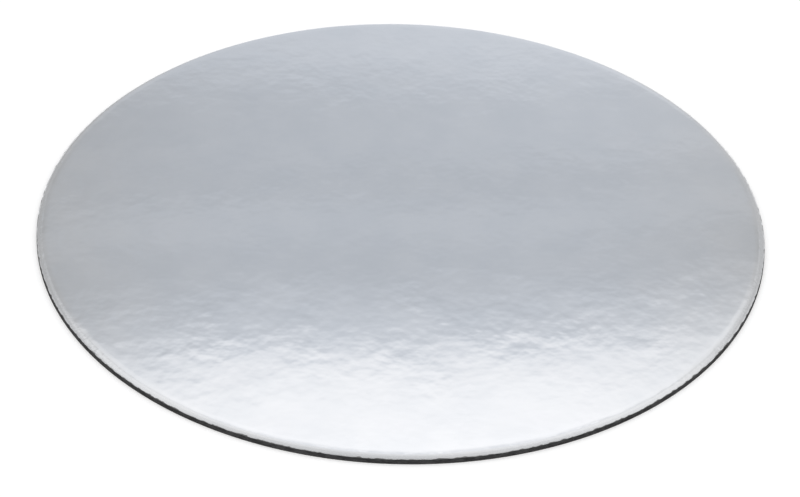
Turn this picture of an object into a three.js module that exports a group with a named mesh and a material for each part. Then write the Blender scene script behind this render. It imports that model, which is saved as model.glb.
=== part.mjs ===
// Round cake board: one disc of stiff grey board, faced with silver foil and stamped out by a steel cutting rule.
// Millimetres, +Z up. The origin is the centre of the underside, where the board rests on a table.

import { Group, LatheGeometry, MathUtils, Mesh, MeshStandardMaterial, Vector2 } from "three";

// Driving dimensions of the blank
const boardDiameter = 254; // ten inches across the cut edge
const boardThickness = 2.5;

// The cut edge. The rule presses the foil down before it cuts, so the upper edge is rolled over in an arc that
// ends at a crisp lip. Below the lip the cut leans out a little, and its foot is rubbed round.
const shoulderWidth = 1.8; // from the flat of the face out to the lip
const shoulderDepth = 0.8; // how far the lip lies below the face
const cutLean = 0.15; // the lip stands this much inside the foot
const footRadius = 0.25;

// How finely the curves are stepped
const stepsRound = 160;
const stepsOnShoulder = 10;
const stepsOnFoot = 4;

// Points on an arc, from one angle to another, both ends included
function arcPoints(centre, radius, fromAngle, toAngle, steps) {
  const points = [];
  for (let i = 0; i <= steps; i += 1) {
    const angle = MathUtils.lerp(fromAngle, toAngle, i / steps);
    points.push(new Vector2(centre.x + radius * Math.cos(angle), centre.y + radius * Math.sin(angle)));
  }
  return points;
}

// The round foot: a quarter turn from the underside up to the cut
function footArc() {
  const centre = new Vector2(boardDiameter / 2 - footRadius, footRadius);
  return arcPoints(centre, footRadius, -Math.PI / 2, 0, stepsOnFoot);
}

// The rolled shoulder: from the lip, where the cut ends, up and in until it is level with the face. The arc that
// leaves the face level and falls by the depth over the width has this radius and turn.
function shoulderArc() {
  const arcRadius = (shoulderWidth ** 2 + shoulderDepth ** 2) / (2 * shoulderDepth);
  const arcTurn = 2 * Math.atan(shoulderDepth / shoulderWidth);
  const flatRadius = boardDiameter / 2 - cutLean - shoulderWidth;
  const centre = new Vector2(flatRadius, boardThickness - arcRadius);
  return arcPoints(centre, arcRadius, Math.PI / 2 - arcTurn, Math.PI / 2, stepsOnShoulder);
}

// Half section, from the middle of the underside, round the edge and back to the axis at the foil face.
// The straight cut is the line from the foot's last point to the lip.
function boardSection() {
  const undersideCentre = new Vector2(0, 0);
  const faceCentre = new Vector2(0, boardThickness);
  return [undersideCentre, ...footArc(), ...shoulderArc(), faceCentre];
}

function silverFoil() {
  return new MeshStandardMaterial({ color: "#cfd4d8", roughness: 0.14, metalness: 1 });
}

function cakeBoard() {
  const disc = new LatheGeometry(boardSection(), stepsRound);
  disc.rotateX(Math.PI / 2); // the lathe turns about +Y, and the board's axis is +Z
  const board = new Mesh(disc, silverFoil());
  board.name = "cake_board";
  return board;
}

const board = new Group();
board.add(cakeBoard());

export default board;
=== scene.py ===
# %% [markdown]
# # A silver cake board
#
# A cake board is one flat disc: stiff grey board with silver foil laminated on top and a lining paper
# underneath, stamped out in one stroke by a steel cutting rule. It has no moving part, so everything
# depends on three finishes and one edge. The foil mirrors the studio, the die rolls the foil over at the
# rim, and the cut shows the raw board, with painted shade darkening its colour.
#
# The imported model gives the true size and place. It could be dressed by changing its material alone, but it
# is one plain solid, and here three layers meet at the edge. So the foil, the board and the lining paper are
# each modelled as they lie in the sheet, inside the imported model's own box.

import math

import bpy
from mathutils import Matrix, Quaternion, Vector


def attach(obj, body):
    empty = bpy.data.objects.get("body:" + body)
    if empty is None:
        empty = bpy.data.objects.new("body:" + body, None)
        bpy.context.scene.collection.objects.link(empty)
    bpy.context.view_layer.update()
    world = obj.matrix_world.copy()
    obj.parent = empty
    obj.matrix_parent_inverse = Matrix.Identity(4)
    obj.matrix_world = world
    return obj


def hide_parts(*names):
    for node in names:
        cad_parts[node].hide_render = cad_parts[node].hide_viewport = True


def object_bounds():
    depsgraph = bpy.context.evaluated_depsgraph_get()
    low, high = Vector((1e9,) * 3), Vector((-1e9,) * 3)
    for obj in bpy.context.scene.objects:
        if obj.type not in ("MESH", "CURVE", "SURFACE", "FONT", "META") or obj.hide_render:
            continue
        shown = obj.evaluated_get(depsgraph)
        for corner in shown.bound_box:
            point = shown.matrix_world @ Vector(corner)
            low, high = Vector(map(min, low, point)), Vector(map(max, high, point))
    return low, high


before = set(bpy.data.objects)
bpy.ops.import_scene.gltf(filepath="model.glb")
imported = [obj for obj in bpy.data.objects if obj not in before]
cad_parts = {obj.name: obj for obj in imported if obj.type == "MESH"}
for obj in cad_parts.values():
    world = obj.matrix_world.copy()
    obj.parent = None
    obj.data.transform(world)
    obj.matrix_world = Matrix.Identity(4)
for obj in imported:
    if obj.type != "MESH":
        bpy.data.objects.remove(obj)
packed_low, packed_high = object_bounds()

MM = 0.001
board_radius = (packed_high.x - packed_low.x) / 2
board_top = packed_high.z
print(f"The board is {2 * board_radius / MM:.1f} mm across and {board_top / MM:.2f} mm thick")

# %% [markdown]
# ## The camera
#
# The photo looks down on the board from about 36 degrees, with the board's right side a little low, as when
# a camera is held slightly turned. The camera could be placed by eye. Here its distance, height and aim come
# from the ellipse that the rim makes in the picture, so the board fills the frame as it does there.

# %% Place the camera
LENS_MM = 85
CAMERA_DISTANCE = 0.6660
CAMERA_HEIGHT_ANGLE = math.radians(36.3)
CAMERA_TURN = math.radians(1.62)
AIM_IN_FRONT = 0.0222
AIM_TO_THE_LEFT = 0.00015

middle_height = board_top / 2
camera_data = bpy.data.cameras.new("camera")
camera_data.lens = LENS_MM
camera = bpy.data.objects.new("camera", camera_data)
bpy.context.scene.collection.objects.link(camera)

camera.location = Vector((
    0,
    -CAMERA_DISTANCE * math.cos(CAMERA_HEIGHT_ANGLE),
    CAMERA_DISTANCE * math.sin(CAMERA_HEIGHT_ANGLE) + middle_height,
))
aim = Vector((-AIM_TO_THE_LEFT, -AIM_IN_FRONT, middle_height))
camera.rotation_mode = "QUATERNION"
camera.rotation_quaternion = (
    (aim - camera.location).to_track_quat("-Z", "Y") @ Quaternion((0, 0, 1), CAMERA_TURN)
)
bpy.context.scene.camera = camera
bpy.context.scene.view_settings.view_transform = "Standard"
print(f"The camera stands {camera.location.length:.3f} m from the board's middle")

# %% [markdown]
# ## Shader maths as expressions
#
# A material is a graph of nodes. The graph could be wired node by node, but a formula is easier to read as a
# formula. This small class wraps an output socket, so that `1 - mask` or `height * 0.5` adds the Math nodes
# that work it out. Every other node comes from its one method, `node`, which sets the node's settings first
# and then its sockets.

# %% A socket that takes part in arithmetic
class Wire:
    """An output socket of a node tree, or only the tree when it has no socket yet."""

    def __init__(self, tree, socket=None):
        self.tree = tree
        self.socket = socket

    def node(self, kind, settings=None, sockets=None, output=0):
        """Adds a node. Settings come first, then the values or links of its sockets, by name or number."""
        made = self.tree.nodes.new(kind)
        for name, value in (settings or {}).items():
            if name == "stops":
                set_stops(made.color_ramp, value)
            else:
                setattr(made, name, value)
        for name, value in (sockets or {}).items():
            if isinstance(value, Wire):
                self.tree.links.new(value.socket, made.inputs[name])
            else:
                made.inputs[name].default_value = value
        return Wire(self.tree, made.outputs[output]) if made.outputs else Wire(self.tree)

    def math(self, operation, *others):
        """A Math node on this socket and any others."""
        return self.node("ShaderNodeMath", {"operation": operation}, dict(enumerate((self, *others))))

    def __add__(self, other):
        return self.math("ADD", other)

    def __sub__(self, other):
        return self.math("SUBTRACT", other)

    def __rsub__(self, other):
        return self.node("ShaderNodeMath", {"operation": "SUBTRACT"}, {0: other, 1: self})

    def __mul__(self, other):
        return self.math("MULTIPLY", other)

    def __truediv__(self, other):
        return self.math("DIVIDE", other)

    __radd__ = __add__
    __rmul__ = __mul__


def set_stops(ramp, stops):
    """Gives a colour ramp these stops, each a position and a grey."""
    while len(ramp.elements) > 1:
        ramp.elements.remove(ramp.elements[0])
    for number, (position, grey) in enumerate(stops):
        element = ramp.elements[0] if number == 0 else ramp.elements.new(position)
        element.position = position
        element.color = (grey, grey, grey, 1)


# %% [markdown]
# A few steps come back in every material: mixing two colours, easing from 0 to 1 over a stretch, reading one
# axis, and noise. They could be written out each time, but Blender's nodes for them have many sockets, so
# each gets a function that asks only for what matters here. The noise reads Object coordinates, which are
# metres on the board itself, so a pattern has its real size and keeps its place on the board.

# %% A few nodes that many materials share
# The Mix node's sockets go by number, because its A and B come in several kinds
MIX_FACTOR, MIX_A, MIX_B, MIX_COLOUR = 0, 6, 7, 2


def mix_colours(factor, first, second):
    """A Mix node on colours: the first where the factor is 0, the second where it is 1."""
    first, second = [(*c, 1) if isinstance(c, tuple) else c for c in (first, second)]
    sockets = {MIX_FACTOR: factor, MIX_A: first, MIX_B: second}
    return factor.node("ShaderNodeMix", {"data_type": "RGBA"}, sockets, output=MIX_COLOUR)


def smooth_step(value, start, end):
    """0 before start, 1 after end, with an eased slope between them."""
    return value.node(
        "ShaderNodeMapRange",
        {"interpolation_type": "SMOOTHSTEP"},
        {"Value": value, "From Min": start, "From Max": end},
    )


def along(vector, axis):
    """A vector's X, Y or Z."""
    return vector.node("ShaderNodeSeparateXYZ", None, {"Vector": vector}, output=axis)


def noise(tree, per_metre, detail=2.0, roughness=0.5, distortion=0.0):
    """Soft noise between 0 and 1, with this many features per metre: one number, or one for each axis."""
    scale = per_metre if isinstance(per_metre, tuple) else (per_metre,) * 3
    place = tree.node("ShaderNodeTexCoord", output="Object")
    place = tree.node("ShaderNodeMapping", {"vector_type": "POINT"}, {"Vector": place, "Scale": scale})
    return tree.node("ShaderNodeTexNoise", None, {
        "Vector": place, "Scale": 1.0, "Detail": detail, "Roughness": roughness, "Distortion": distortion,
    })


# %% [markdown]
# ## The studio
#
# Foil has almost no colour of its own: what is seen on it is the studio. The photo's foil is grey at the
# back, turns bright within a few degrees and is nearly white in front, which is a large soft box overhead
# with a grey backdrop beneath it. Lamps of real size could stand there, but their edges would have to be
# found by trial. The world holds the same thing as a formula of direction, with no noise in it. Its height
# above the horizon is the main term, and each stop below is one stretch of the backdrop, read upward. The
# soft box's lower edge dips to the right of the picture, and the box dims toward its top.

# %% The backdrop and the soft box
TOP_OF_BACKDROP = 48.0
BACKDROP = [
    (0, 0.95), (15, 0.76), (28, 0.70), (31.5, 0.665), (33, 0.56), (34.7, 0.56), (35.5, 0.515), (36.6, 0.58),
    (38, 0.525), (39, 0.585), (40, 0.66), (41, 0.93), (42, 1.035), (42.8, 1.04), (43.5, 1.09), (45, 1.08),
    (48, 0.86),
]
SOFT_BOX_BENDS = 35.0
BEND_STOPS_AT = 0.25
SOFT_BOX_DIMS = 0.25
SOFT_BOX_DIMS_OVER = (50.0, 85.0)


def read_off(stops, height, top):
    """A tone read off stops that are given at heights in degrees, from the horizon to the top."""
    in_parts = [(stop / top, tone) for stop, tone in stops]
    return height.node("ShaderNodeValToRGB", {"stops": in_parts}, {"Fac": height / top})


def backdrop_light(height, sideways):
    to_the_right = sideways.math("MAXIMUM", 0.0).math("MINIMUM", BEND_STOPS_AT)
    read_height = height + to_the_right * to_the_right * SOFT_BOX_BENDS
    light = read_off(BACKDROP, read_height, TOP_OF_BACKDROP)
    return light * (1 - smooth_step(height, *SOFT_BOX_DIMS_OVER) * SOFT_BOX_DIMS)


print(f"The backdrop has {len(BACKDROP)} stops between the horizon and {TOP_OF_BACKDROP:.0f} degrees")

# %% [markdown]
# In the photo the foil is a little darker to the left, above all at the back, and darker again toward both
# sides. That is a backdrop lit from the right, with a flag left and right of it. Each could be a board in
# the scene. As shares of the backdrop's light they stay in one place, and each height has its own.

# %% Dim the left and both sides
LEFT_REACHES = 0.2
LEFT_DIMS_LOW = 0.5
LEFT_DIMS_HIGH = 0.08
LOW_TO_HIGH = (33.5, 36.0)
OVERHEAD = 90.0
FLAGS = [
    (0, 0.60), (12, 0.60), (34, 0.78), (38, 0.80), (41, 0.60), (45, 0.70), (49, 1.15), (75, 1.15),
    (OVERHEAD, 1.0),
]
FLAGS_BEGIN = (0.0, 0.12)
FLAGS_END = (0.55, 0.95)


def share_on_the_left(height, sideways):
    near_middle = sideways.math("MAXIMUM", -LEFT_REACHES).math("MINIMUM", LEFT_REACHES)
    dims = LEFT_DIMS_LOW - smooth_step(height, *LOW_TO_HIGH) * (LEFT_DIMS_LOW - LEFT_DIMS_HIGH)
    return 1 + near_middle * dims


def share_at_the_sides(height, off_centre):
    on_flags = smooth_step(off_centre, *FLAGS_BEGIN) * (1 - smooth_step(off_centre, *FLAGS_END))
    return 1 - on_flags * (1 - read_off(FLAGS, height, OVERHEAD))


# %% [markdown]
# Behind the camera, and overhead beyond the soft box, is a plain grey room, which is what the foil shows
# from the other sides. The backdrop's grey is cool in the middle, and hardly so where it is bright, at the
# sides or overhead. One tint all over would be simpler, but it would turn the bright front blue.

# %% The room and the tint
ROOM = [
    (0, 0.62), (27, 0.95), (34, 0.86), (41, 0.46), (45, 0.46), (61, 0.49), (76, 0.53), (OVERHEAD, 0.62),
]
LEAST_UP = 0.05
ROOM_ENDS = (-0.75, 0.15)
COOL_TINT = (0.955, 1.0, 1.075)
BRIGHT_TINT = (1.0, 1.0, 1.015)
PLAIN_TINT = (1.0, 1.0, 1.005)
COOL_ENDS_SIDEWAYS = (0.0, 0.09)
COOL_ENDS_UPWARD = (46.0, 58.0)
GREY_TO_BRIGHT = (0.6, 1.08)


def share_of_room(away, up):
    """1 where the direction leans toward the camera's side, 0 where it leans toward the backdrop."""
    leaning_back = away / up.math("MAXIMUM", LEAST_UP)
    return 1 - smooth_step(leaning_back, *ROOM_ENDS)


def studio_tint(brightness, height, off_centre, near_side):
    cool = (1 - smooth_step(off_centre, *COOL_ENDS_SIDEWAYS)) * (1 - near_side)
    cool = cool * (1 - smooth_step(height, *COOL_ENDS_UPWARD))
    tint = mix_colours(smooth_step(brightness, *GREY_TO_BRIGHT), COOL_TINT, BRIGHT_TINT)
    return mix_colours(cool, PLAIN_TINT, tint)


# %% [markdown]
# The parts come together as one colour for each direction. The camera sees white instead, which is the
# photo's background, and the foil and the matt surfaces see the studio.

# %% Light that depends on direction
AVOIDS_ZERO = 1e-6


def studio_colour(tree):
    """The studio's light in each direction, where +Y is away from the camera and +Z is up."""
    direction = tree.node("ShaderNodeTexCoord", output="Generated")
    across, away, up = [along(direction, axis) for axis in "XYZ"]
    sideways = across / (across * across + away * away + AVOIDS_ZERO).math("SQRT")
    off_centre = sideways * sideways
    height = up.math("ARCSINE") * math.degrees(1)

    backdrop = backdrop_light(height, sideways)
    backdrop = backdrop * share_on_the_left(height, sideways)
    backdrop = backdrop * share_at_the_sides(height, off_centre)
    near_side = share_of_room(away, up)
    brightness = backdrop * (1 - near_side) + read_off(ROOM, height, OVERHEAD) * near_side
    tint = studio_tint(brightness, height, off_centre, near_side)
    return tree.node("ShaderNodeVectorMath", {"operation": "SCALE"}, {0: tint, "Scale": brightness})


def light_the_world():
    world = bpy.data.worlds.new("studio")
    bpy.context.scene.world = world
    world.use_nodes = True
    world.node_tree.nodes.clear()
    tree = Wire(world.node_tree)
    seen_by_camera = tree.node("ShaderNodeLightPath", output="Is Camera Ray")
    colour = mix_colours(seen_by_camera, studio_colour(tree), (1.0, 1.0, 1.0))
    background = tree.node("ShaderNodeBackground", None, {"Color": colour, "Strength": 1.0})
    tree.node("ShaderNodeOutputWorld", None, {"Surface": background})
    print(f"The world's formula took {len(world.node_tree.nodes)} nodes")


light_the_world()

# %% [markdown]
# ## The floor
#
# The board lies on a white table that runs out of the picture. A plane does for it. Its paint is white and
# takes the board's shadow, and a little light added for the camera and for mirrors alone lifts it to the
# pure white of the photo without putting more light on the board.

# %% Lay the floor
FLOOR_SIZE = 8.0
FLOOR_PAINT = (0.82, 0.82, 0.82, 1)
FLOOR_LIFT = 0.24
FLOOR_GAP = 0.02 * MM


def new_material(name):
    """A material with an empty node tree, and a wire to build in it with."""
    material = bpy.data.materials.new(name)
    material.use_nodes = True
    material.node_tree.nodes.clear()
    return material, Wire(material.node_tree)


def floor_material():
    material, tree = new_material("white_table")
    paint = tree.node("ShaderNodeBsdfDiffuse", None, {"Color": FLOOR_PAINT})
    camera_ray = tree.node("ShaderNodeLightPath", output="Is Camera Ray")
    mirror_ray = tree.node("ShaderNodeLightPath", output="Is Glossy Ray")
    seen = camera_ray.math("MAXIMUM", mirror_ray)
    lift = tree.node("ShaderNodeEmission", None, {"Color": (1, 1, 1, 1), "Strength": seen * FLOOR_LIFT})
    surface = tree.node("ShaderNodeAddShader", None, {0: paint, 1: lift})
    tree.node("ShaderNodeOutputMaterial", None, {"Surface": surface})
    return material


bpy.ops.object.select_all(action="DESELECT")
bpy.ops.mesh.primitive_plane_add(size=FLOOR_SIZE, location=(0, 0, -FLOOR_GAP))
floor = bpy.context.object
floor.name = "floor"
floor.data.materials.append(floor_material())
print("The floor lies at", round(floor.location.z / MM, 3), "mm")

# %% [markdown]
# The world alone leaves matt things that face up more than a quarter too dark, because most of it is grey. A
# brighter world would fix that and spoil the foil. A soft lamp from straight overhead makes up for it, and
# because the foil would mirror it as a second soft box, the lamp is hidden from mirrors.

# %% Light matt surfaces from overhead
LAMP_STRENGTH = 0.90
LAMP_SPREAD = math.radians(70)

lamp_data = bpy.data.lights.new("overhead", "SUN")
lamp_data.energy = LAMP_STRENGTH
lamp_data.angle = LAMP_SPREAD
lamp = bpy.data.objects.new("overhead", lamp_data)
lamp.visible_glossy = False
bpy.context.scene.collection.objects.link(lamp)
print(f"The lamp adds {LAMP_STRENGTH / math.pi:.2f} of full white to a matt surface that faces up")

# %% [markdown]
# ## Drawing a section
#
# Each layer is a solid of revolution, so each could start as a cylinder with its rim bevelled. The rim here
# is three layers that share one rounded profile, and that is easier to draw than to cut: the half section is
# drawn from the axis outward with Extrude for straight lines and Spin for arcs, as a pencil would. A line
# that is too long to bend later is subdivided.

# %% Draw with one point
def start_section(name, x, z):
    """A new object in edit mode that holds one selected point, the pencil's tip."""
    bpy.ops.object.select_all(action="DESELECT")
    bpy.ops.mesh.primitive_plane_add(size=MM, location=(0, 0, 0))
    piece = bpy.context.object
    piece.name = name
    piece.data.name = name
    bpy.ops.object.mode_set(mode="EDIT")
    bpy.ops.mesh.select_mode(type="VERT")
    bpy.ops.mesh.select_all(action="SELECT")
    bpy.ops.mesh.merge(type="CENTER")
    bpy.ops.transform.translate(value=(x, 0, z))
    return piece, Vector((x, 0, z))


def line_to(tip, x, z):
    """Extrudes the tip in a straight line and returns where it is now."""
    target = Vector((x, 0, z))
    bpy.ops.mesh.extrude_region_move(TRANSFORM_OT_translate={"value": target - tip})
    return target


def arc_about(tip, centre_x, centre_z, angle, steps):
    """Spins the tip about a centre in the section, down and outward where the angle is above 0."""
    centre = Vector((centre_x, 0, centre_z))
    bpy.ops.mesh.spin(steps=steps, angle=-angle, center=centre, axis=(0, 1, 0))
    return centre + Quaternion((0, 1, 0), angle) @ (tip - centre)


def split_lines(piece, is_chosen, cuts):
    """Subdivides the section's lines that the test picks by their two ends."""
    bpy.ops.mesh.select_all(action="DESELECT")
    bpy.ops.object.mode_set(mode="OBJECT")
    points = piece.data.vertices
    for edge in piece.data.edges:
        ends = [points[n].co for n in edge.vertices]
        edge.select = is_chosen(*ends)
        if edge.select:
            for n in edge.vertices:
                points[n].select = True
    bpy.ops.object.mode_set(mode="EDIT")
    bpy.ops.mesh.select_mode(type="EDGE")
    bpy.ops.mesh.subdivide(number_cuts=cuts)
    bpy.ops.mesh.select_mode(type="VERT")


# %% [markdown]
# ## Turning it
#
# The die stamps the board out whole, but as a shape it is its section turned about the axis. One Spin could
# do it. Spin slows down sharply as its steps grow, so it turns a sixteenth of the solid finely and then
# copies that round. The section's two ends lie on the axis, so the solid closes by itself when the doubled
# points are merged.

# %% Turn the section
SAME_POINT = 1e-7
SECTORS = 16


def turn_section(piece, steps, smooth_angle):
    """Spins a sixteenth of the solid about the Z axis, copies it round, closes it and shades it."""
    sector = math.tau / SECTORS
    about_z = {"center": (0, 0, 0), "axis": (0, 0, 1)}
    bpy.ops.mesh.select_all(action="SELECT")
    bpy.ops.mesh.spin(steps=steps // SECTORS, angle=sector, **about_z)
    bpy.ops.mesh.select_all(action="SELECT")
    bpy.ops.mesh.spin(steps=SECTORS - 1, angle=math.tau - sector, dupli=True, **about_z)
    bpy.ops.mesh.select_all(action="SELECT")
    bpy.ops.mesh.remove_doubles(threshold=SAME_POINT)
    bpy.ops.mesh.normals_make_consistent(inside=False)
    bpy.ops.object.mode_set(mode="OBJECT")
    bpy.ops.object.shade_smooth_by_angle(angle=smooth_angle)
    print(f"{piece.name}: {len(piece.data.vertices)} points, {len(piece.data.polygons)} faces")


# %% [markdown]
# ## The edge
#
# The rule presses the foil down before it cuts, so the face rolls over into a shoulder, one arc that ends at
# a crisp lip. Below the lip the cut leans out a little, and its foot is rubbed round. Each layer could carry
# its own numbers, but then they would part or overlap when one is changed. So the edge's few sizes are
# written once, and every layer takes its place from them.

# %% Sizes of the edge and of the layers
shoulder_width = 1.8 * MM
shoulder_depth = 0.8 * MM
cut_lean = 0.15 * MM
foot_radius = 0.25 * MM
foil_thickness = 0.045 * MM
lining_thickness = 0.12 * MM
bare_lip = 0.12 * MM

arc_radius = (shoulder_width**2 + shoulder_depth**2) / (2 * shoulder_depth)
arc_turn = 2 * math.atan(shoulder_depth / shoulder_width)
foil_turn = arc_turn - bare_lip / arc_radius
lip_radius = board_radius - cut_lean
lip_z = board_top - shoulder_depth
flat_radius = lip_radius - shoulder_width
arc_centre_z = board_top - arc_radius


def on_arc(radius, turn):
    """The point of an arc about the shoulder's centre, turned down from the top: its X and Z."""
    return flat_radius + radius * math.sin(turn), arc_centre_z + radius * math.cos(turn)


foil_end_radius = on_arc(arc_radius, foil_turn)[0]
print(f"The shoulder turns {math.degrees(arc_turn):.0f} degrees at a radius of {arc_radius / MM:.2f} mm")

# %% [markdown]
# ## The foil
#
# The foil is a few hundredths of a millimetre of aluminium on a backing paper. It lies flat over the board
# and follows the rolled shoulder down. The rule drags the foil inward as it cuts, so it ends a tenth of a
# millimetre short of the lip, where the torn board shows. A disc with Solidify would do for the flat, but
# not for the end of the foil. So its section is drawn from the middle of the face outward, over the
# shoulder, down the cut edge of the foil and back underneath.

# %% Model the foil
FOIL_STEPS_ROUND = 512
FACE_CUTS = 62
ARC_STEPS = 12
SMOOTH_BELOW = math.radians(35)


def crosses_the_face(start, end):
    return (start - end).length > flat_radius / 2


def draw_foil():
    piece, tip = start_section("silver_foil", 0, board_top)
    tip = line_to(tip, flat_radius, board_top)
    tip = arc_about(tip, flat_radius, arc_centre_z, foil_turn, ARC_STEPS)
    tip = line_to(tip, *on_arc(arc_radius - foil_thickness, foil_turn))
    tip = arc_about(tip, flat_radius, arc_centre_z, -foil_turn, ARC_STEPS)
    line_to(tip, 0, board_top - foil_thickness)
    split_lines(piece, crosses_the_face, FACE_CUTS)
    turn_section(piece, FOIL_STEPS_ROUND, SMOOTH_BELOW)
    return piece


foil = draw_foil()

# %% [markdown]
# No such board is truly flat. The sheet was glued wet and dried, so its face waves by up to three hundredths
# of a millimetre over a few centimetres, and the rule presses the shoulder a little unevenly. A bump in the
# material could bend the mirror image, but moved points do it for every light and from every side. Displace
# moves them, and only inward, so no piece grows out of the board's true size.

# %% Move points by clouds
def weigh(piece, group_name, weight_at_radius):
    """A vertex group whose weights follow the distance from the axis."""
    group = piece.vertex_groups.new(name=group_name)
    for point in piece.data.vertices:
        group.add([point.index], weight_at_radius(math.hypot(point.co.x, point.co.y)), "REPLACE")
    return group.name


def displace(piece, name, size, depth, direction, group_name, detail=1):
    """Moves points by a clouds texture, at most by the depth and against the direction, and applies it."""
    clouds = bpy.data.textures.new(name, "CLOUDS")
    clouds.noise_scale = size
    clouds.noise_depth = detail
    bpy.ops.object.select_all(action="DESELECT")
    piece.select_set(True)
    bpy.context.view_layer.objects.active = piece
    bpy.ops.object.modifier_add(type="DISPLACE")
    modifier = piece.modifiers[-1]
    modifier.texture = clouds
    modifier.texture_coords = "LOCAL"
    modifier.direction = direction
    modifier.vertex_group = group_name
    modifier.strength = depth
    modifier.mid_level = 1
    bpy.ops.object.modifier_apply(modifier=modifier.name)


def fade(value, start, end):
    """0 before start, 1 after end, with an eased slope between them."""
    part = min(max((value - start) / (end - start), 0), 1)
    return part * part * (3 - 2 * part)


# %% [markdown]
# The foil's points move straight down. The waves fade out before the shoulder, and the shoulder's own
# unevenness fades out at the foil's edge, so that the foil still ends on its line.

# %% Let the sheet wave
WAVE_LENGTH = 34 * MM
WAVE_DEPTH = 0.030 * MM
WAVES_FADE_OVER = 14 * MM
PRESS_LENGTH = 7 * MM
PRESS_DEPTH = 0.05 * MM
PRESS_BEGINS_INSIDE = 0.4 * MM
PRESS_FULL_OUTSIDE = 0.5 * MM
PRESS_FADES_FROM = 0.6 * MM
PRESS_ENDS_BEFORE = 0.05 * MM


def wave_weight(radius):
    return 1 - fade(radius, flat_radius - WAVES_FADE_OVER, flat_radius)


def press_weight(radius):
    begun = fade(radius, flat_radius - PRESS_BEGINS_INSIDE, flat_radius + PRESS_FULL_OUTSIDE)
    ended = fade(radius, foil_end_radius - PRESS_FADES_FROM, foil_end_radius - PRESS_ENDS_BEFORE)
    return begun * (1 - ended)


def is_on_the_face(point):
    """Within the flat, and no deeper than the waves go, which leaves out the foil's underside."""
    return math.hypot(point.co.x, point.co.y) < flat_radius and board_top - point.co.z <= WAVE_DEPTH


waves = weigh(foil, "waves", wave_weight)
pressed = weigh(foil, "pressed", press_weight)
displace(foil, "waves", WAVE_LENGTH, WAVE_DEPTH, "Z", waves)
displace(foil, "pressed", PRESS_LENGTH, PRESS_DEPTH, "Z", pressed)
heights = [point.co.z for point in foil.data.vertices if is_on_the_face(point)]
print(f"The face lies between {min(heights) / MM:.3f} and {max(heights) / MM:.3f} mm")

# %% [markdown]
# ## The board
#
# Under the foil is the board itself, and only its cut edge shows. The knife leans out a little on its way
# through and the foot of the cut is rubbed round. The edge isn't a clean wall: the plies part slightly where
# they were pressed together, and the fibres tear. All of that could be bump, but the rim is seen against the
# floor, where only shape shows. So the parting lines are drawn into the section as shallow grooves, and
# Displace pulls the torn fibres inward.

# %% Where the cut and the layers under the foil lie
PARTING_HEIGHTS = (0.62 * MM, 0.98 * MM, 1.33 * MM)
PARTING_WIDTH = 0.07 * MM
PARTING_DEPTH = 0.05 * MM
BED_DEPTH = 0.06 * MM

foot_turn_of_lining = math.acos(1 - lining_thickness / foot_radius)
lining_radius = board_radius - foot_radius + foot_radius * math.sin(foot_turn_of_lining)
bed_radius = arc_radius - foil_thickness - BED_DEPTH


def cut_radius(height):
    """How far out the leaning cut is at a height."""
    part = (height - foot_radius) / (lip_z - foot_radius)
    return board_radius - part * (board_radius - lip_radius)


print(f"The cut leans out from {cut_radius(lip_z) / MM:.2f} mm to {board_radius / MM:.2f} mm at the foot")

# %% [markdown]
# The pencil starts on top of the lining, goes out to the foot, up the cut with its partings to the lip, back
# over the bare strip and under the foil, and home along a bed. A bed right against the foil would poke
# through where the foil waves, so it lies a little deeper than the foil ever moves.

# %% Model the board
BOARD_STEPS_ROUND = 2048
WALL_CUTS = 4
LONG_WALL_LINE = 0.2 * MM
FOOT_STEPS = 4
BED_STEPS = 4
BARE_STEPS = 3
BOARD_SMOOTH_BELOW = math.radians(50)


def is_long_and_on_the_wall(start, end):
    return min(start.x, end.x) > lip_radius and (start - end).length > LONG_WALL_LINE


def draw_board():
    piece, tip = start_section("grey_board", 0, lining_thickness)
    tip = line_to(tip, lining_radius, lining_thickness)
    rest_of_foot = math.pi / 2 - foot_turn_of_lining
    tip = arc_about(tip, board_radius - foot_radius, foot_radius, -rest_of_foot, FOOT_STEPS)
    for height in PARTING_HEIGHTS:
        below, above = height - PARTING_WIDTH / 2, height + PARTING_WIDTH / 2
        tip = line_to(tip, cut_radius(below), below)
        tip = line_to(tip, cut_radius(height) - PARTING_DEPTH, height)
        tip = line_to(tip, cut_radius(above), above)
    tip = line_to(tip, lip_radius, lip_z)
    tip = arc_about(tip, flat_radius, arc_centre_z, foil_turn - arc_turn, BARE_STEPS)
    tip = line_to(tip, *on_arc(bed_radius, foil_turn))
    tip = arc_about(tip, flat_radius, arc_centre_z, -foil_turn, BED_STEPS)
    line_to(tip, 0, tip.z)
    split_lines(piece, is_long_and_on_the_wall, WALL_CUTS)
    turn_section(piece, BOARD_STEPS_ROUND, BOARD_SMOOTH_BELOW)
    return piece


board = draw_board()

# %% [markdown]
# A knife tears the fibres more than it cuts them. Loose fibres could be modelled one by one, but the photo
# shows only an uneven line. The wall's points are pulled in along their normals instead, from nothing at the
# foil's end to the full depth at the lip and below.

# %% Tear the fibres
FIBRE_LENGTH = 0.9 * MM
FIBRE_DEPTH = 0.07 * MM
FIBRE_DETAIL = 3
TEARING_BEGINS = 0.02 * MM


def tear_weight(radius):
    return fade(radius, foil_end_radius - TEARING_BEGINS, lip_radius)


torn = weigh(board, "cut", tear_weight)
displace(board, "fibres", FIBRE_LENGTH, FIBRE_DEPTH, "NORMAL", torn, FIBRE_DETAIL)
print(f"Fibres are torn by at most {FIBRE_DEPTH / MM:.2f} mm")

# %% [markdown]
# ## The lining paper
#
# The underside isn't seen in the photo. Such boards are lined with plain paper, so that the sheet doesn't
# curl, and the same stroke of the rule cuts it. It could be a patch of another colour on the board's
# underside, but it is a sheet of its own, so it is drawn as one, with its share of the rubbed foot.

# %% Model the lining paper
LINING_STEPS_ROUND = 256


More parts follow.
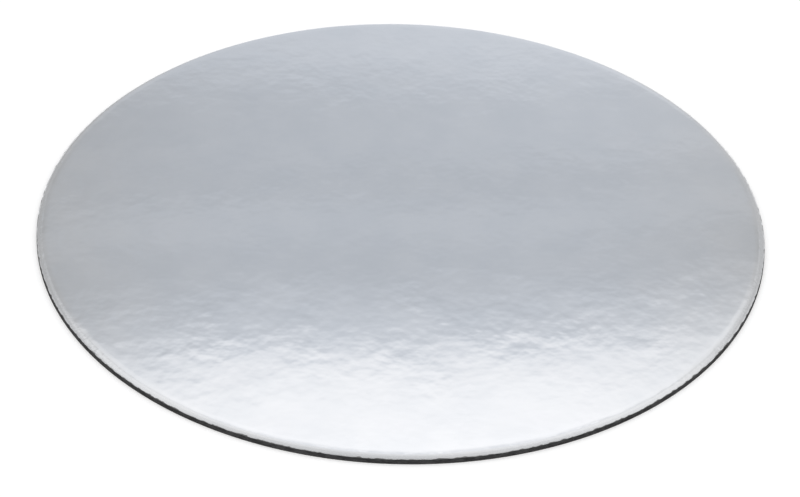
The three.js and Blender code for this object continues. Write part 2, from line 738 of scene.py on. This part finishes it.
def draw_lining():
    piece, tip = start_section("lining_paper", 0, lining_thickness)
    tip = line_to(tip, lining_radius, lining_thickness)
    tip = arc_about(tip, board_radius - foot_radius, foot_radius, foot_turn_of_lining, FOOT_STEPS)
    line_to(tip, 0, 0)
    turn_section(piece, LINING_STEPS_ROUND, SMOOTH_BELOW)
    return piece


lining = draw_lining()

# %% [markdown]
# ## Silver foil
#
# The foil is a bright metal with hardly any colour. Its mirror image is broken by the paper and board
# beneath: soft dimples a few millimetres across, which show as short dashes lying across the picture, and a
# fine grain. One flat roughness would give a clean mirror, so the dimples and the grain go through one Bump,
# and the roughness itself varies a little. On the shoulder the foil is stretched, dented and creased, so it
# is duller there.

# %% Dimples, dents and creases
NOISE_MIDDLE = 0.5
DIMPLES = 185
DIMPLE_DEPTH_MM = 0.034
DIMPLE_PATCHES = 40
DIMPLE_PATCH_EDGES = (0.35, 0.65)
LEAST_DIMPLED = 0.6
DIMPLING_GAINS = 0.6
GRAIN = 1300
GRAIN_DEPTH_MM = 0.0006
DENTS = 380
DENT_DEPTH_MM = 0.11
DENT_PATCHES = 110
DENT_PATCH_EDGES = (0.42, 0.66)
CREASES = 1100
CREASE_DEPTH_MM = 0.03


def foil_height_mm(tree, on_shoulder):
    """The relief of the foil: dimples and grain all over, dents and creases on the shoulder."""
    dimples = noise(tree, DIMPLES, detail=1.6, roughness=0.42)
    where_dimpled = smooth_step(noise(tree, DIMPLE_PATCHES), *DIMPLE_PATCH_EDGES)
    dimples = dimples * (where_dimpled * DIMPLING_GAINS + LEAST_DIMPLED)
    dents = noise(tree, DENTS, detail=1.0) - NOISE_MIDDLE
    creases = noise(tree, CREASES) - NOISE_MIDDLE
    where_dented = smooth_step(noise(tree, DENT_PATCHES, detail=1.0), *DENT_PATCH_EDGES)
    worked = (dents * where_dented * DENT_DEPTH_MM + creases * CREASE_DEPTH_MM) * on_shoulder
    return dimples * DIMPLE_DEPTH_MM + noise(tree, GRAIN) * GRAIN_DEPTH_MM + worked


# %% [markdown]
# Along the lip the rule has scuffed some of the metal off its grey backing. The scuffs could be faces of
# their own, but their outline is finer than the foil's faces, so one material shows both: the metal fades
# to bare backing where noise lets the scuffs reach in from the edge.

# %% Silver foil
FOIL_DIM = (0.855, 0.87, 0.89)
FOIL_BRIGHT = (0.89, 0.90, 0.915)
FOIL_PATCHES = 60
FOIL_PATCH_EDGES = (0.3, 0.7)
FOIL_ROUGHNESS = 0.058
FOIL_ROUGHNESS_VARIES = 0.03
SHOULDER_ROUGHNESS = 0.25
DULLS_FROM_INSIDE = 0.7 * MM
DULL_OUTSIDE = 0.5 * MM
SCUFFS = 420
SCUFF_WANDERS = 1.1 * MM
SCUFF_REACHES = 0.22 * MM
SCUFF_ROUGHENS = 0.5
BACKING = (0.13, 0.13, 0.13)


def distance_from_axis(tree):
    place = tree.node("ShaderNodeTexCoord", output="Object")
    x, y = [along(place, axis) for axis in "XY"]
    return (x * x + y * y).math("SQRT")


def finish_surface(tree, height_mm, finish):
    """Ends a material with one Principled shader that has this finish, and a bump of this height."""
    bump = tree.node("ShaderNodeBump", None, {"Height": height_mm, "Strength": 1.0, "Distance": MM})
    shader = tree.node("ShaderNodeBsdfPrincipled", None, {**finish, "Normal": bump})
    tree.node("ShaderNodeOutputMaterial", None, {"Surface": shader})


def foil_material():
    material, tree = new_material("silver_foil")
    distance = distance_from_axis(tree)
    on_shoulder = smooth_step(distance, flat_radius - DULLS_FROM_INSIDE, flat_radius + DULL_OUTSIDE)
    scuffs = (noise(tree, SCUFFS, detail=3.0) - NOISE_MIDDLE) * SCUFF_WANDERS
    scuffed = smooth_step(distance + scuffs, foil_end_radius - SCUFF_REACHES, foil_end_radius)

    patches = noise(tree, FOIL_PATCHES, detail=3.0)
    colour = mix_colours(smooth_step(patches, *FOIL_PATCH_EDGES), FOIL_DIM, FOIL_BRIGHT)
    colour = mix_colours(scuffed, colour, BACKING)
    roughness = patches * FOIL_ROUGHNESS_VARIES + (FOIL_ROUGHNESS - FOIL_ROUGHNESS_VARIES * NOISE_MIDDLE)
    roughness = roughness + on_shoulder * (SHOULDER_ROUGHNESS - FOIL_ROUGHNESS) + scuffed * SCUFF_ROUGHENS
    finish = {"Base Color": colour, "Metallic": 1 - scuffed, "Roughness": roughness}
    finish_surface(tree, foil_height_mm(tree, on_shoulder), finish)
    return material


foil.data.materials.append(foil_material())
print(f"The foil's material took {len(foil.active_material.node_tree.nodes)} nodes")

# %% [markdown]
# ## The cut edge
#
# Grey board is pulped waste paper, pressed in plies. Where the rule has cut it, torn fibres lie along the
# plies as fine streaks, darker where they are packed and paler where one stands out. A wave along Z would
# give rings that are too even. Noise that is much finer up the wall than round it makes streaks that run
# round the rim from every side, and no two are alike. The dark and middle tones are far darker than such
# board is: they hold painted shade, the shadowed look of the cut edge, on top of its own streaks.

# %% Cut board
# The dark and middle pulp tones carry painted shade: near black, darker than grey board, for a shadowed edge
PULP_DARK_WITH_PAINTED_SHADE = (0.025, 0.025, 0.026)
PULP_MIDDLE_WITH_PAINTED_SHADE = (0.064, 0.064, 0.065)
PULP_PALE = (0.19, 0.188, 0.184)
STREAKS = (700, 700, 5200)
STREAK_DEPTH_MM = 0.06
CLUMPS = (260, 260, 700)
CLUMP_SHARE = 0.4
PACKED_EDGES = (0.38, 0.62)
HAIRS = (1500, 1500, 9000)
HAIR_DEPTH_MM = 0.03
HAIR_EDGES = (0.64, 0.74)
HAIR_COVERS = 0.7
LOOSE_ROUGHNESS = 0.95
PACKING_SMOOTHS = 0.12
PULP_SPECULAR = 0.25


def cut_board_material():
    material, tree = new_material("cut_board")
    streaks = noise(tree, STREAKS, detail=4.0, roughness=0.6)
    clumps = noise(tree, CLUMPS)
    hairs = noise(tree, HAIRS, roughness=0.7)
    packed = smooth_step(streaks * (1 - CLUMP_SHARE) + clumps * CLUMP_SHARE, *PACKED_EDGES)
    # Streaks between two tones that both carry painted shade
    colour = mix_colours(packed, PULP_DARK_WITH_PAINTED_SHADE, PULP_MIDDLE_WITH_PAINTED_SHADE)
    colour = mix_colours(smooth_step(hairs, *HAIR_EDGES) * HAIR_COVERS, colour, PULP_PALE)
    roughness = LOOSE_ROUGHNESS - packed * PACKING_SMOOTHS
    height_mm = streaks * STREAK_DEPTH_MM + hairs * HAIR_DEPTH_MM
    finish = {"Base Color": colour, "Roughness": roughness, "Specular IOR Level": PULP_SPECULAR}
    finish_surface(tree, height_mm, finish)
    return material


board.data.materials.append(cut_board_material())
print(f"The cut edge's material took {len(board.active_material.node_tree.nodes)} nodes")

# %% [markdown]
# ## The lining
#
# The lining is uncoated paper: matt, a little mottled where the pulp settled in clouds, with a few darker
# fibres caught in it and a soft tooth that catches raking light. The fibres could be drawn as curves, but
# they are thinner than a hair, so a thin line where one noise passes its middle value does as well.

# %% Lining paper
PAPER_PALE = (0.65, 0.63, 0.60)
PAPER_DARK = (0.58, 0.56, 0.53)
PAPER_FIBRE = (0.40, 0.38, 0.35)
PAPER_CLOUDS = 120
CLOUD_EDGES = (0.35, 0.65)
CLOUD_DEPTH_MM = 0.03
TOOTH = 1800
TOOTH_DEPTH_MM = 0.02
FIBRES = (240, 900, 900)
FIBRE_THICKNESS = 0.012
FIBRE_PATCHES = 300
FIBRE_PATCH_EDGES = (0.58, 0.68)
FIBRE_COVERS = 0.7
PAPER_ROUGHNESS = 0.8
TOOTH_ROUGHENS = 0.15
PAPER_SPECULAR = 0.3


def lining_material():
    material, tree = new_material("lining_paper")
    clouds = noise(tree, PAPER_CLOUDS, detail=5.0, roughness=0.6)
    tooth = noise(tree, TOOTH, detail=3.0, roughness=0.6)
    fibres = noise(tree, FIBRES, detail=3.0, roughness=0.55, distortion=1.4)
    beside_fibre = smooth_step((fibres - NOISE_MIDDLE).math("ABSOLUTE"), 0.0, FIBRE_THICKNESS)
    few = smooth_step(noise(tree, FIBRE_PATCHES, detail=1.0), *FIBRE_PATCH_EDGES)
    colour = mix_colours(smooth_step(clouds, *CLOUD_EDGES), PAPER_DARK, PAPER_PALE)
    colour = mix_colours((1 - beside_fibre) * few * FIBRE_COVERS, colour, PAPER_FIBRE)
    roughness = tooth * TOOTH_ROUGHENS + PAPER_ROUGHNESS
    height_mm = tooth * TOOTH_DEPTH_MM + clouds * CLOUD_DEPTH_MM
    finish = {"Base Color": colour, "Roughness": roughness, "Specular IOR Level": PAPER_SPECULAR}
    finish_surface(tree, height_mm, finish)
    return material


lining.data.materials.append(lining_material())
print(f"The lining's material took {len(lining.active_material.node_tree.nodes)} nodes")

# %% [markdown]
# ## Handing over
#
# The imported board is one node on one body. The three layers could be joined into one mesh, but each is a
# material of its own, so each rides that body and stands in for that node.

# %% Hand the pieces over
for piece, slot_name in ((foil, "silver_foil"), (board, "cut_board"), (lining, "underside_paper")):
    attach(piece, "root")
    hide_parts("cake_board")
